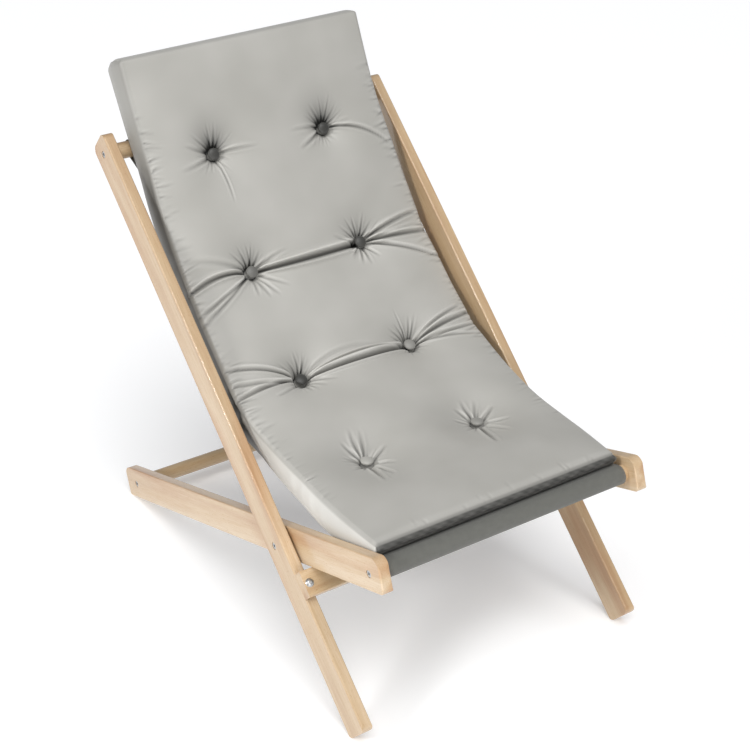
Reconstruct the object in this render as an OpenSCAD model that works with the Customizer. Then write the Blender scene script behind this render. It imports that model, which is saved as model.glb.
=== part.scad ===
// Folding deck chair: two crossed wooden frames, a canvas sling and a tufted cushion.
// Millimetres, +Z up. The chair faces -Y and stands on the plane z = 0.

/* [Frame] */
// Overall width across the back rails
chair_w = 580; // [480:10:700]
// Depth of every rail, seen from the side
rail_d = 60; // [45:1:75]
// Thickness of every rail
rail_t = 20; // [16:1:28]
// Back rail from the pivot up to its top end
back_up = 781; // [650:1:950]
// Back rail from the pivot down to its foot
back_down = 338; // [280:2:420]
// Seat rail from the pivot to its front end
seat_front = 296; // [240:2:360]
// Seat rail from the pivot back to its rear foot
seat_rear = 652; // [540:2:790]
// Slope of the back rails when the chair is open, in degrees
back_slope = 42; // [34:0.5:48]
// Corner radius of the feet
foot_r = 12; // [4:1:18]
// Large corner radius of the rails' ends
nose_r = 20; // [8:1:26]
// Corner radius of the back rails' upper front corners
crest_r = 15; // [6:1:20]
// Corner radius of the seat rails' lower front corners
heel_r = 9; // [3:1:14]
// Radius of the rails' edges
edge_r = 2.5; // [1:0.5:6]

/* [Cross bars] */
// Diameter of the head bar and the front bar, which carry the sling
sling_bar_d = 30; // [22:1:36]
// Diameter of the bar between the rear feet
rear_bar_d = 28; // [20:1:36]
// Head bar's distance from the top end of the back rails
head_inset = 29; // [26:1:60]
// Front bar's distance from the front end of the seat rails
front_inset = 33; // [26:1:50]
// Rear bar's distance from the rear end of the seat rails
rear_inset = 44; // [30:1:80]
// Depth of the sockets that take the bars' ends
socket = 8; // [4:1:12]

/* [Stop board] */
// Height of the board that stops the seat frame
stop_h = 45; // [30:1:60]
// Thickness of the stop board
stop_t = 20; // [12:1:28]
// Radius of the stop board's lower front edge
stop_r = 3; // [1:0.5:6]
// Radius of its other long edges
stop_ease = 0.5; // [0.3:0.1:2]

/* [Hardware] */
// Diameter of the pivot bolts
pivot_d = 8; // [6:1:10]
// Diameter of the flush screw heads
head_d = 13; // [11:0.5:16]
// Thickness of the flush screw heads
head_t = 3; // [2:0.5:4]
// Bevel round the rim of the flush screw heads
head_bevel = 0.8; // [0.4:0.2:1.2]
// Diameter of the bar screws' shanks
screw_d = 6; // [4:0.5:8]
// Length of the bar screws below the head
screw_len = 50; // [35:1:80]
// Diameter of the stop bolts' domed heads
dome_d = 15; // [12:0.5:18]
// Height of the stop bolts' domed heads
dome_h = 4; // [3:0.5:6]
// Width across the flats of the hexagon sockets
hex_w = 5; // [3:0.5:6]
// Thickness of the spacer washers between the rails
spacer_t = 2.5; // [1.5:0.5:5]
// Diameter of the washers at the pivots
washer_d = 20; // [16:1:26]
// Thickness of the washers under the nuts
nut_washer_t = 1.5; // [1:0.5:3]

/* [Sling] */
// Gap between the sling's selvedges and the seat rails
sling_side = 7.5; // [2:0.5:30]
// Thickness of the canvas
sling_t = 1.6; // [1:0.2:3]
// Length of the bar tunnels, from where the cloth leaves the bar to the stitching
tunnel = 38; // [32:1:60]
// Width of the stitched hems that close the tunnels
hem = 17; // [10:1:30]
// Slope at which the cloth leaves the front bar, in degrees
sling_front_slope = -16; // [-30:1:-6]
// Slope at which the cloth meets the head bar, in degrees
sling_back_slope = 64; // [56:1:70]
// How long the cloth keeps the front slope, as a share of the way between the bars
sling_front_ease = 0.045; // [0.02:0.005:0.15]
// How long the cloth keeps the back slope, as a share of the way between the bars
sling_back_ease = 0.735; // [0.5:0.005:0.8]

/* [Cushion] */
// Gap between the cushion's bulging sides and the seat rails
cushion_side = 0.5; // [0.3:0.1:20]
// Bulge of the cushion's sides
side_bulge = 3; // [1:0.5:8]
// Bulge of the cushion's ends
end_bulge = 5; // [1:0.5:8]
// Cushion's front end, measured along the sling from the front bar
cushion_start = 22; // [10:1:60]
// Length of the cushion along the sling
cushion_len = 1098; // [900:2:1200]
// Height of the boxed edge
edge_h = 52; // [35:1:70]
// Height of the boxed edge at the front end
edge_front_h = 25; // [15:1:60]
// Height of the boxed edge at the top end
edge_top_h = 61; // [35:1:80]
// Rise of the crown above the edges
crown = 15; // [5:1:30]
// First row of tufts, measured along the sling from the front bar
row_first = 235; // [180:1:300]
// Distance between the rows of tufts
row_pitch = 232; // [150:1:260]
// Distance between the two columns of tufts
column_pitch = 230; // [140:1:300]
// Depth of the tufts in the seat
tuft_seat = 31; // [10:1:36]
// Depth of the tufts in the back
tuft_back = 20; // [10:1:36]
// Depth of the creases that join the tufts
crease = 7; // [0:1:14]
// How far the tufts draw the sides in
draw_in = 5; // [0:0.5:10]
// Depth of the tufts on the underside
tuft_under = 7; // [6.5:0.5:12]
// Diameter of the covered buttons
button_d = 24; // [16:1:26]
// Thickness of the buttons at their rim
button_t = 3; // [2:0.5:4]
// Height of the front buttons' domes above the rim
button_dome = 4; // [2:0.5:6]
// Diameter of the tufting cords
cord_d = 1.6; // [1:0.2:3]

/* [Clearances] */
// Radial clearance of a turning pin
run_clear = 0.05; // [0.02:0.01:0.1]
// Clearance of a fixed pin or a bar's end in its socket
fit_clear = 0.03; // [0.01:0.01:0.1]
// Side play of the seat rails at the pivots
side_play = 0.05; // [0.02:0.01:0.2]
// Gap between the stop board and the seat rails that rest on it
stop_gap = 0.05; // [0.02:0.01:0.2]
// Gap between cloth and what it lies on
soft_gap = 0.3; // [0.2:0.05:0.5]

/* [Hidden] */
$fn = 64;

wood = [0.87, 0.74, 0.57];
steel = [0.76, 0.77, 0.78];
canvas = [0.42, 0.42, 0.40];
velvet = [0.70, 0.70, 0.67];

// Faces across the chair, from the outside in
back_out = chair_w / 2;
back_in = back_out - rail_t;
seat_out = back_in - spacer_t;
seat_in = seat_out - rail_t;
sling_w = 2 * (seat_in - sling_side);
cushion_w = 2 * (seat_in - cushion_side - side_bulge);

// The pivot's height follows from the back rails' feet, and the seat rails' slope from their own
pivot_z = (back_down - foot_r) * sin(back_slope) + (rail_d / 2 - foot_r) * cos(back_slope) + foot_r;
seat_run = seat_rear - foot_r;
seat_half = rail_d / 2 - foot_r;
seat_slope = asin((pivot_z - foot_r) / norm([seat_run, seat_half])) - atan2(seat_half, seat_run);
opening = back_slope + seat_slope;

// The origin lies under the middle of the chair's length
reach_front = (seat_front - heel_r) * cos(seat_slope) + (rail_d / 2 - heel_r) * sin(seat_slope) + heel_r;
reach_rear = (seat_rear - nose_r) * cos(seat_slope) + (rail_d / 2 - nose_r) * sin(seat_slope) + nose_r;
pivot_y = (reach_front - reach_rear) / 2;
pivot = [pivot_y, pivot_z];

// Bars, along their rails and in side view
head_at = back_up - head_inset;
front_at = seat_front - front_inset;
rear_at = seat_rear - rear_inset;
head_bar_yz = pivot + head_at * [cos(back_slope), sin(back_slope)];
front_bar_yz = pivot + front_at * [-cos(seat_slope), sin(seat_slope)];

// The stop board's upper front edge lies on the line of the seat rails' lower edges
stop_face = rail_d / 2 + stop_t;
stop_reach = (stop_face + rail_d / 2 * cos(opening)) / sin(opening);
stop_top = -stop_reach * cos(opening) - rail_d / 2 * sin(opening) - stop_gap;

// Sizes that belong to standard bolts and nuts
hex_depth = 2;
nut_flats = pivot_d + 5;
nut_h = 6.5;
nut_dome_h = 4;
nut_hole = 6;
stop_bolt_d = 6;
stop_bolt_len = 55;
head_sink = 0.8;
tip_room = 2;
nut_dome_d = nut_flats - 1;
nut_dome_sink = 0.5;
// How far a cutter runs past a face, and a shank into its head
past = 1;

// Side view of the sling: a cubic curve from the front bar's top to the head bar's front
bar_wrap = sling_bar_d / 2 + soft_gap + sling_t / 2;
lie_n = 60;
lie_p0 = front_bar_yz + bar_wrap * [-sin(sling_front_slope), cos(sling_front_slope)];
lie_p3 = head_bar_yz + bar_wrap * [-sin(sling_back_slope), cos(sling_back_slope)];
lie_span = norm(lie_p3 - lie_p0);
lie_p1 = lie_p0 + sling_front_ease * lie_span * [cos(sling_front_slope), sin(sling_front_slope)];
lie_p2 = lie_p3 - sling_back_ease * lie_span * [cos(sling_back_slope), sin(sling_back_slope)];
function bezier(t) =
    pow(1 - t, 3) * lie_p0 + 3 * t * pow(1 - t, 2) * lie_p1
    + 3 * t * t * (1 - t) * lie_p2 + pow(t, 3) * lie_p3;
function bezier_dir(t) =
    pow(1 - t, 2) * (lie_p1 - lie_p0) + 2 * t * (1 - t) * (lie_p2 - lie_p1) + t * t * (lie_p3 - lie_p2);
lie_points = [for (i = [0 : lie_n]) bezier(i / lie_n)];
lie_lengths = [
    for (i = 0, s = 0; i <= lie_n; s = s + norm(lie_points[min(i + 1, lie_n)] - lie_points[i]), i = i + 1) s
];
lie_total = lie_lengths[lie_n];
lie_y = [for (i = [0 : lie_n]) [lie_lengths[i], lie_points[i][0]]];
lie_z = [for (i = [0 : lie_n]) [lie_lengths[i], lie_points[i][1]]];
lie_a = [for (i = [0 : lie_n]) let (d = bezier_dir(i / lie_n)) [lie_lengths[i], atan2(d[1], d[0])]];

// Slope of the sling at the length s from the front bar, and a point at the height h above it.
// Past the head bar the line runs straight on.
function slope_at(s) = lookup(s, lie_a);
function above(s, h) =
    [lookup(s, lie_y), lookup(s, lie_z)]
    + max(0, s - lie_total) * [cos(sling_back_slope), sin(sling_back_slope)]
    + h * [-sin(slope_at(s)), cos(slope_at(s))];

// The sling's path in side view, from hem to hem round both bars
wrap_steps = 20;
hem_drop = sling_t + soft_gap / 2;
wrap_turn = 250;
function bar_arc(c, slope, from, to) = [
    for (i = [0 : wrap_steps])
        let (a = slope + 90 + from + (to - from) * i / wrap_steps)
            c + bar_wrap * [cos(a), sin(a)]
];
sling_path = concat(
    [above(tunnel + hem, -hem_drop), above(tunnel, -hem_drop)],
    bar_arc(front_bar_yz, sling_front_slope, wrap_turn, 0),
    [for (i = [1 : lie_n - 1]) lie_points[i]],
    bar_arc(head_bar_yz, sling_back_slope, 0, -wrap_turn),
    [above(lie_total - tunnel, -hem_drop), above(lie_total - tunnel - hem, -hem_drop)]
);
path_last = len(sling_path) - 1;
function path_normal(i) =
    let (d = sling_path[min(i + 1, path_last)] - sling_path[max(i - 1, 0)])
        [-d[1], d[0]] / norm(d);
function path_side(h) = [for (i = [0 : path_last]) sling_path[i] + h * path_normal(i)];

// Cushion: lines along its length, with a flat of the button's width at each tuft
flat = button_d / 2 + 2;
slope_of_tuft = 26;
tuft_spread = 44;
rows = [for (k = [0 : 3]) row_first + k * row_pitch];
tuft_depths = [tuft_seat, tuft_seat, tuft_back, tuft_back];
column_x = column_pitch / 2;
cushion_end = cushion_start + cushion_len;
row_reach = flat + slope_of_tuft;
row_gap = row_pitch - 2 * row_reach;
front_gap = row_first - row_reach - cushion_start;
top_gap = cushion_end - rows[3] - row_reach;
front_lines = [0, 0.1, 0.3, 0.65];
top_lines = [0.65, 0.35, 0.12, 0];
row_steps = [-row_reach, -flat, flat, row_reach, row_reach + row_gap / 3, row_reach + row_gap * 2 / 3];
cushion_s = concat(
    [for (f = front_lines) cushion_start + f * front_gap],
    [
        for (k = [0 : 3])
            for (d = row_steps)
                if (k < 3 || d <= row_reach) rows[k] + d
    ],
    [for (f = top_lines) cushion_end - f * top_gap]
);
edge_gap = cushion_w / 2 - column_x - row_reach;
half_x = [
    0, (column_x - row_reach) / 2, column_x - row_reach, column_x - flat, column_x + flat,
    column_x + row_reach, cushion_w / 2 - edge_gap / 2, cushion_w / 2 - edge_gap / 6, cushion_w / 2
];
cushion_x = concat([for (i = [8 : -1 : 1]) -half_x[i]], half_x);
x_last = len(cushion_x) - 1;

// Height of the boxed edge, which thins towards the front and fills out towards the top
front_taper = 180;
top_taper = 170;
function edge_at(s) =
    edge_h - (edge_h - edge_front_h) * max(0, 1 - (s - cushion_start) / front_taper)
    + (edge_top_h - edge_h) * max(0, 1 - (cushion_end - s) / top_taper);
// Crown: steep at the edges, flat over the middle
crown_reach = 95;
function rise(d) = let (q = min(1, max(0, d / crown_reach))) q * (2 - q);
function crown_at(s, x) =
    crown * rise(cushion_w / 2 - abs(x)) * rise(min(s - cushion_start, cushion_end - s));
// Tufts: a flat of the button's size with a soft slope round it
function tuft_shape(r) = exp(-max(0, r * r - 2 * flat * flat) / pow(tuft_spread, 2));
function tufts(s, x, depths) = max([
    for (k = [0 : 3])
        depths[k] * tuft_shape(norm([s - rows[k], abs(x) - column_x]))
]);
function near_row(s, w) = max([for (r = rows) exp(-pow(max(0, abs(s - r) - flat) / w, 2))]);
function crease_at(s) = crease * near_row(s, slope_of_tuft);
function side_x(s, x) =
    x - sign(x) * draw_in * near_row(s, 2 * slope_of_tuft) * pow(abs(x) / (cushion_w / 2), 3);
under_depths = [for (k = [0 : 3]) tuft_under];
lift = sling_t / 2 + soft_gap;
function under_h(s, x) = lift + tufts(s, x, under_depths);
function top_h(s, x) = lift + edge_at(s) + crown_at(s, x) - max(tufts(s, x, tuft_depths), crease_at(s));

// One ring of the cushion's skin: over the top, round the side, back underneath, round the other side
function squeeze(h, s, k) = let (m = lift + edge_at(s) / 2) m + (h - m) * k;
function skin(s, x, h) = let (p = above(s, h)) [side_x(s, x), p[0], p[1]];
function ring(s, at, k) = concat(
    [for (x = cushion_x) skin(at, x, squeeze(top_h(s, x), s, k))],
    [skin(at, cushion_w / 2, lift + edge_at(s) / 2) + [side_bulge * k, 0, 0]],
    [for (i = [x_last : -1 : 0]) skin(at, cushion_x[i], squeeze(under_h(s, cushion_x[i]), s, k))],
    [skin(at, -cushion_w / 2, lift + edge_at(s) / 2) - [side_bulge * k, 0, 0]]
);
ring_n = 2 * len(cushion_x) + 2;
end_squeeze = 0.5;
cushion_rings = concat(
    [ring(cushion_start, cushion_start - end_bulge, end_squeeze)],
    [for (s = cushion_s) ring(s, s, 1)],
    [ring(cushion_end, cushion_end + end_bulge, end_squeeze)]
);
ring_last = len(cushion_rings) - 1;
function cell(a, b, c, d) = [[a, b, c], [a, c, d]];
function cap(base) = concat(
    [
        for (j = [0 : x_last - 1])
            let (u = 2 * x_last + 2 - j)
                each cell(base + j, base + j + 1, base + u - 1, base + u)
    ],
    [[base + x_last, base + x_last + 1, base + x_last + 2], [base + 2 * x_last + 2, base + ring_n - 1, base]]
);
function flip(faces) = [for (f = faces) [f[2], f[1], f[0]]];

// Frames of the two pairs of rails: local Y runs along the rail, Z across it
module along_back() {
    translate([0, pivot_y, pivot_z]) rotate([back_slope, 0, 0]) children();
}
module along_seat() {
    translate([0, pivot_y, pivot_z]) rotate([-seat_slope, 0, 0]) children();
}
module left_side() {
    mirror([1, 0, 0]) children();
}
module both_sides() {
    children();
    left_side() children();
}
// A rod along +X from x0 to x1
module rod(x0, x1, d) {
    translate([x0, 0, 0]) rotate([0, 90, 0]) cylinder(h = x1 - x0, d = d);
}
// Rectangle from y0 to y1 with a radius for each corner, in the order
// low start, low end, high end, high start
module rounded_bar(y0, y1, depth, radii) {
    corners = [[y0, -depth / 2], [y1, -depth / 2], [y1, depth / 2], [y0, depth / 2]];
    difference() {
        translate([y0, -depth / 2]) square([y1 - y0, depth]);
        for (i = [0 : 3])
            translate(corners[i]) rotate(90 * i) difference() {
                translate([-past, -past]) square(radii[i] + past);
                translate([radii[i], radii[i]]) circle(radii[i]);
            }
    }
}
module side_plate(x0, x1) {
    translate([x0, 0, 0]) rotate([90, 0, 90]) linear_extrude(x1 - x0) children();
}
// Rail from x0 to x1 across the chair: its side view, cut to the eased section and plan of a planed board
module rail(x0, x1, y0, y1, radii) {
    eased = [edge_r, edge_r, edge_r, edge_r];
    intersection() {
        side_plate(x0, x1) rounded_bar(y0, y1, rail_d, radii);
        translate([0, y1 + past, 0]) rotate([90, 0, 0]) linear_extrude(y1 - y0 + 2 * past)
            rounded_bar(x0, x1, rail_d, eased);
        translate([0, (y0 + y1) / 2, -rail_d / 2 - past]) linear_extrude(rail_d + 2 * past)
            rounded_bar(x0, x1, y1 - y0, eased);
    }
}
module hex_socket(depth) {
    translate([0, 0, -depth]) cylinder(h = depth + past, d = hex_w / cos(30), $fn = 6);
}

// Hole for a flush screw: counterbore in the outer face, shank hole right through
module screw_hole(outer, inner) {
    rod(inner - past, outer + past, screw_d + 2 * fit_clear);
    rod(outer - head_t - head_sink, outer + past, head_d + 2 * fit_clear);
}
// Flush screw with a hexagon socket, its bevelled head just below the face at x = outer
module flush_screw(outer, shank_d, shank_len) {
    translate([outer - head_sink, 0, 0]) rotate([0, 90, 0]) difference() {
        union() {
            translate([0, 0, -head_t]) cylinder(h = head_t - head_bevel, d = head_d);
            translate([0, 0, -head_bevel])
                cylinder(h = head_bevel, d1 = head_d, d2 = head_d - 2 * head_bevel);
            translate([0, 0, -head_t - shank_len]) cylinder(h = shank_len + past, d = shank_d);
        }
        hex_socket(hex_depth);
    }
}
// Round bar with a screw hole in each end
module cross_bar(inner, d) {
    end = inner + socket - fit_clear;
    hole = screw_len - (rail_t - head_sink - head_t - socket) + tip_room;
    difference() {
        rod(-end, end, d);
        both_sides() rod(end - hole, end + past, screw_d + 2 * fit_clear);
    }
}
module bar_socket(inner, d) {
    rod(inner - past, inner + socket, d + 2 * fit_clear);
}

module back_rail() {
    color(wood) along_back() difference() {
        rail(back_in, back_out, -back_down, back_up, [foot_r, nose_r, crest_r, foot_r]);
        rod(back_in - past, back_out + past, pivot_d + 2 * fit_clear);
        rod(back_out - head_t - head_sink, back_out + past, head_d + 2 * fit_clear);
        translate([0, head_at, 0]) screw_hole(back_out, back_in);
        translate([0, head_at, 0]) bar_socket(back_in, sling_bar_d);
        translate([back_out - rail_t / 2, stop_top - stop_h / 2, stop_face])
            stop_bolt_hole();
    }
}
module back_rail_left() {
    left_side() back_rail();
}
module back_rail_right() {
    back_rail();
}
module head_bar() {
    color(wood) along_back() translate([0, head_at, 0]) cross_bar(back_in, sling_bar_d);
}
module head_bar_screws() {
    color(steel) along_back() translate([0, head_at, 0])
        both_sides() flush_screw(back_out, screw_d, screw_len);
}

module stop_bolt_hole() {
    translate([0, 0, -stop_bolt_len - past])
        cylinder(h = stop_bolt_len + 2 * past, d = stop_bolt_d + 2 * fit_clear);
}
module stop_board() {
    color(wood) along_back() difference() {
        translate([0, 0, rail_d / 2 + stop_t / 2]) side_plate(-back_out, back_out)
            rounded_bar(stop_top - stop_h, stop_top, stop_t, [stop_ease, stop_ease, stop_ease, stop_r]);
        both_sides() translate([back_out - rail_t / 2, stop_top - stop_h / 2, stop_face]) stop_bolt_hole();
    }
}
// Ball radius of a dome with the base diameter d and the height h
function dome_radius(d, h) = (d * d / 4 + h * h) / (2 * h);
module dome(d, h) {
    r = dome_radius(d, h);
    intersection() {
        translate([0, 0, h - r]) sphere(r);
        cylinder(h = h + past, d = 2 * d);
    }
}
module stop_board_bolts() {
    color(steel) along_back() both_sides()
        translate([back_out - rail_t / 2, stop_top - stop_h / 2, stop_face]) difference() {
            union() {
                dome(dome_d, dome_h);
                translate([0, 0, -stop_bolt_len]) cylinder(h = stop_bolt_len + past, d = stop_bolt_d);
            }
            translate([0, 0, dome_h]) hex_socket(hex_depth);
        }
}

// Pivot: the bolt is held in the back rail, and the seat rail turns on it between two washers
nut_face = seat_in - side_play - nut_washer_t;
nut_room = 0.5;
pivot_shank = back_out - head_sink - head_t - nut_face + nut_hole - nut_room;
module pivot_bolt() {
    color(steel) along_back() flush_screw(back_out, pivot_d, pivot_shank);
}
module pivot_bolt_left() {
    left_side() pivot_bolt();
}
module pivot_bolt_right() {
    pivot_bolt();
}
module pivot_ring(x0, x1) {
    color(steel) along_back() difference() {
        rod(x0, x1, washer_d);
        rod(x0 - past, x1 + past, pivot_d + 2 * fit_clear);
    }
}
module pivot_spacer_left() {
    left_side() pivot_spacer_right();
}
module pivot_spacer_right() {
    pivot_ring(seat_out + side_play, back_in);
}
module pivot_washer_left() {
    left_side() pivot_washer_right();
}
module pivot_washer_right() {
    pivot_ring(nut_face, seat_in - side_play);
}
module pivot_nut_left() {
    left_side() pivot_nut_right();
}
module pivot_nut_right() {
    color(steel) along_back() translate([nut_face, 0, 0]) rotate([0, -90, 0]) difference() {
        union() {
            cylinder(h = nut_h, d = nut_flats / cos(30), $fn = 6);
            translate([0, 0, nut_h - nut_dome_sink]) dome(nut_dome_d, nut_dome_h);
        }
        translate([0, 0, -past]) cylinder(h = nut_hole + past, d = pivot_d + 2 * fit_clear);
    }
}

module seat_rail() {
    color(wood) along_seat() difference() {
        rail(seat_in, seat_out, -seat_front, seat_rear, [heel_r, foot_r, nose_r, nose_r]);
        rod(seat_in - past, seat_out + past, pivot_d + 2 * run_clear);
        for (y = [-front_at, rear_at])
            translate([0, y, 0]) screw_hole(seat_out, seat_in);
        translate([0, -front_at, 0]) bar_socket(seat_in, sling_bar_d);
        translate([0, rear_at, 0]) bar_socket(seat_in, rear_bar_d);
    }
}
module seat_rail_left() {
    left_side() seat_rail();
}
module seat_rail_right() {
    seat_rail();
}
module front_bar() {
    color(wood) along_seat() translate([0, -front_at, 0]) cross_bar(seat_in, sling_bar_d);
}
module front_bar_screws() {
    color(steel) along_seat() translate([0, -front_at, 0])
        both_sides() flush_screw(seat_out, screw_d, screw_len);
}
module rear_bar() {
    color(wood) along_seat() translate([0, rear_at, 0]) cross_bar(seat_in, rear_bar_d);
}
module rear_bar_screws() {
    color(steel) along_seat() translate([0, rear_at, 0])
        both_sides() flush_screw(seat_out, screw_d, screw_len);
}

module sling() {
    side_a = path_side(sling_t / 2);
    side_b = path_side(-sling_t / 2);
    color(canvas) side_plate(-sling_w / 2, sling_w / 2)
        polygon(concat(side_a, [for (i = [path_last : -1 : 0]) side_b[i]]));
}

module cushion() {
    color(velvet) polyhedron(
        points = [for (r = cushion_rings) each r],
        faces = concat(
            [
                for (i = [0 : ring_last - 1])
                    for (j = [0 : ring_n - 1])
                        let (n = (j + 1) % ring_n)
                            each cell(
                                i * ring_n + j, (i + 1) * ring_n + j,
                                (i + 1) * ring_n + n, i * ring_n + n
                            )
            ],
            cap(0),
            flip(cap(ring_last * ring_n))
        )
    );
}

// Middle of a tuft's flat at the height h above the sling, and its children there with Z along its normal
function tuft_point(k, h) = (above(rows[k] - flat, h) + above(rows[k] + flat, h)) / 2;
module at_tufts(heights, gap) {
    for (k = [0 : 3])
        for (x = [-column_x, column_x])
            let (p = tuft_point(k, heights[k]))
                translate([x, p[0], p[1]]) rotate([slope_at(rows[k]), 0, 0])
                    translate([0, 0, gap]) children();
}
tuft_top = [for (r = rows) top_h(r, column_x)];
tuft_base = [for (r = rows) under_h(r, column_x)];
// Covered button: a disc with a domed face
module button(rise_h) {
    r = dome_radius(button_d, rise_h);
    intersection() {
        translate([0, 0, button_t + rise_h - r]) sphere(r);
        cylinder(h = button_t + rise_h + past, d = button_d);
    }
}
module front_buttons() {
    color(velvet) at_tufts(tuft_top, soft_gap) button(button_dome);
}
module back_buttons() {
    color(velvet) at_tufts(tuft_base, -soft_gap) rotate([180, 0, 0])
        button(tuft_under - button_t - 3 * soft_gap);
}
// The cords run through the filling and end just under the buttons
cord_over = soft_gap - fit_clear;
module tuft_cords() {
    color(canvas)
        for (k = [0 : 3])
            for (x = [-column_x, column_x])
                let (p = tuft_point(k, tuft_base[k]))
                    translate([x, p[0], p[1]]) rotate([slope_at(rows[k]), 0, 0])
                        translate([0, 0, -cord_over])
                            cylinder(h = tuft_top[k] - tuft_base[k] + 2 * cord_over, d = cord_d);
}

back_rail_left();
back_rail_right();
head_bar();
head_bar_screws();
stop_board();
stop_board_bolts();
pivot_bolt_left();
pivot_bolt_right();
pivot_spacer_left();
pivot_spacer_right();
pivot_washer_left();
pivot_washer_right();
pivot_nut_left();
pivot_nut_right();
seat_rail_left();
seat_rail_right();
front_bar();
front_bar_screws();
rear_bar();
rear_bar_screws();
sling();
cushion();
front_buttons();
back_buttons();
tuft_cords();
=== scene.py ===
# %% [markdown]
# # A folding deck chair
# Two crossed wooden frames turn on a pair of bolts, a canvas sling hangs between them and a tufted cushion
# lies on the sling. The rails, bars and bolts come from the CAD model with their true shapes, so they only
# need good finishes. The soft pieces are made here.

# %% Load the frame
import math
import random

import bmesh
import bpy
import numpy as np
from mathutils import Matrix, Vector


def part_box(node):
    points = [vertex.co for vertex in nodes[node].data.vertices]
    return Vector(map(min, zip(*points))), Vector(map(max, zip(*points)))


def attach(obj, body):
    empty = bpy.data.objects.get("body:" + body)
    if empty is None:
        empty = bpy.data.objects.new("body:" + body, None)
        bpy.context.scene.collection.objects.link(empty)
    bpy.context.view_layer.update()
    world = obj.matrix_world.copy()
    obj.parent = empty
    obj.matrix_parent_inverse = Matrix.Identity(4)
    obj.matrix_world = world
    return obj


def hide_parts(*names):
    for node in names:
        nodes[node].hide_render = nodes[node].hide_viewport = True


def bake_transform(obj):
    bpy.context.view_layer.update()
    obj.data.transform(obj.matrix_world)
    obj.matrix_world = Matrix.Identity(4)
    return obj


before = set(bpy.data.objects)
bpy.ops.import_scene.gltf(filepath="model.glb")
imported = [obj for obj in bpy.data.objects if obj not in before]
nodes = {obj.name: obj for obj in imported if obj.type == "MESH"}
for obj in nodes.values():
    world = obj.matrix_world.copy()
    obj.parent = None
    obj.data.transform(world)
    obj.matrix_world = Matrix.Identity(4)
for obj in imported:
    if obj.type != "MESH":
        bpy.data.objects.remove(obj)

scene = bpy.context.scene
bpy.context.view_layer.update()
MM = 0.001

# %% [markdown]
# ## Camera
# The picture is square and was taken from the chair's front left, from about 1.9 m up, looking down. Long
# lenses flatten depth, and the rails here converge only slightly, so the lens is long. The place and the
# turn were worked out from the rails' edges and the screw heads, and are set as plain numbers.

# %% Camera
eye = Vector((-1.4131, -2.1085, 1.8612))
yaw, pitch, roll = math.radians(-34.249), math.radians(29.923), math.radians(0.584)
lens_data = bpy.data.cameras.new("camera")
lens_data.sensor_fit = "HORIZONTAL"
lens_data.sensor_width = 36
lens_data.lens = 79.41
camera = bpy.data.objects.new("camera", lens_data)
scene.collection.objects.link(camera)
camera.matrix_world = (
    Matrix.Translation(eye)
    @ Matrix.Rotation(yaw, 4, "Z")
    @ Matrix.Rotation(math.pi / 2 - pitch, 4, "X")
    @ Matrix.Rotation(roll, 4, "Z")
)
scene.camera = camera
print("camera at", eye, "lens", lens_data.lens, "mm")

# %% [markdown]
# ## Small helpers for finishes
# Colours are written as the hex values a screen shows. Shaders work in linear light, so one function
# converts them. The others add a node, wire it and lay several patterns over each other, which keeps each
# finish readable.

# %% Helpers for finishes
def linear(hex_colour):
    """An sRGB hex colour as the linear red, green, blue and alpha of a shader socket."""
    parts = [int(hex_colour[i:i + 2], 16) / 255 for i in (1, 3, 5)]
    return [c / 12.92 if c <= 0.04045 else ((c + 0.055) / 1.055) ** 2.4 for c in parts] + [1.0]


def add_node(material, kind, values=None, links=None, stops=(), **settings):
    """Adds a node. values sets its sockets, links joins sockets to other nodes' outputs, and stops are a
    colour ramp's places and hex colours."""
    node = material.node_tree.nodes.new(kind)
    for name, value in settings.items():
        setattr(node, name, value)
    for socket, value in (values or {}).items():
        node.inputs[socket].default_value = value
    for socket, output in (links or {}).items():
        material.node_tree.links.new(output, node.inputs[socket])
    for _ in stops[2:]:
        node.color_ramp.elements.new(0.5)
    for k, (place, colour) in enumerate(stops):
        node.color_ramp.elements[k].position = place
        node.color_ramp.elements[k].color = linear(colour)
    return node


def new_finish(name, **sockets):
    """A material with its surface shader, whose fixed values are set on the sockets."""
    material = bpy.data.materials.new(name)
    material.use_nodes = True
    shader = material.node_tree.nodes["Principled BSDF"]
    for socket, value in sockets.items():
        shader.inputs[socket.replace("_", " ")].default_value = value
    return material, shader


def wire(material, shader, **outputs):
    """Joins other nodes' outputs to the surface shader's sockets."""
    for socket, output in outputs.items():
        material.node_tree.links.new(output, shader.inputs[socket.replace("_", " ")])


def layered(material, *layers):
    """The colours of several patterns, multiplied. A layer is a pattern's output and its ramp's stops."""
    tones = [
        add_node(material, "ShaderNodeValToRGB", links={"Fac": pattern}, stops=stops).outputs["Color"]
        for pattern, stops in layers
    ]
    colour = tones[0]
    for tone in tones[1:]:
        # On a colour Mix node sockets 6 and 7 are the two colours, and output 2 is the result.
        colour = add_node(material, "ShaderNodeMix", {0: 1.0}, {6: colour, 7: tone},
                          data_type="RGBA", blend_type="MULTIPLY").outputs[2]
    return colour


print("white is", linear("#FFFFFF"))

# %% [markdown]
# ## Stage and light
# The chair stands on a white studio floor that runs out of the picture. The light is that of a light tent:
# white all round, a broad soft light from above that lays the shadow under the seat, and two soft boxes: a
# small one high on the left, which brightens the rails' outer faces and lets the cushion shade the right
# rail, and a broad one in front. The plain "Standard" view shows the hex colours as they are written.

# %% Stage and light
FLOOR_HALF, FLOOR_GLOW, TENT_LIGHT = 14, 0.27, 0.24
CHAIR_MIDDLE = (0, 0, 0.4)
OVERHEAD_FROM, OVERHEAD_LIGHT, OVERHEAD_SPREAD = (-0.14, -0.42, 1.0), 2.3, math.radians(50)
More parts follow.
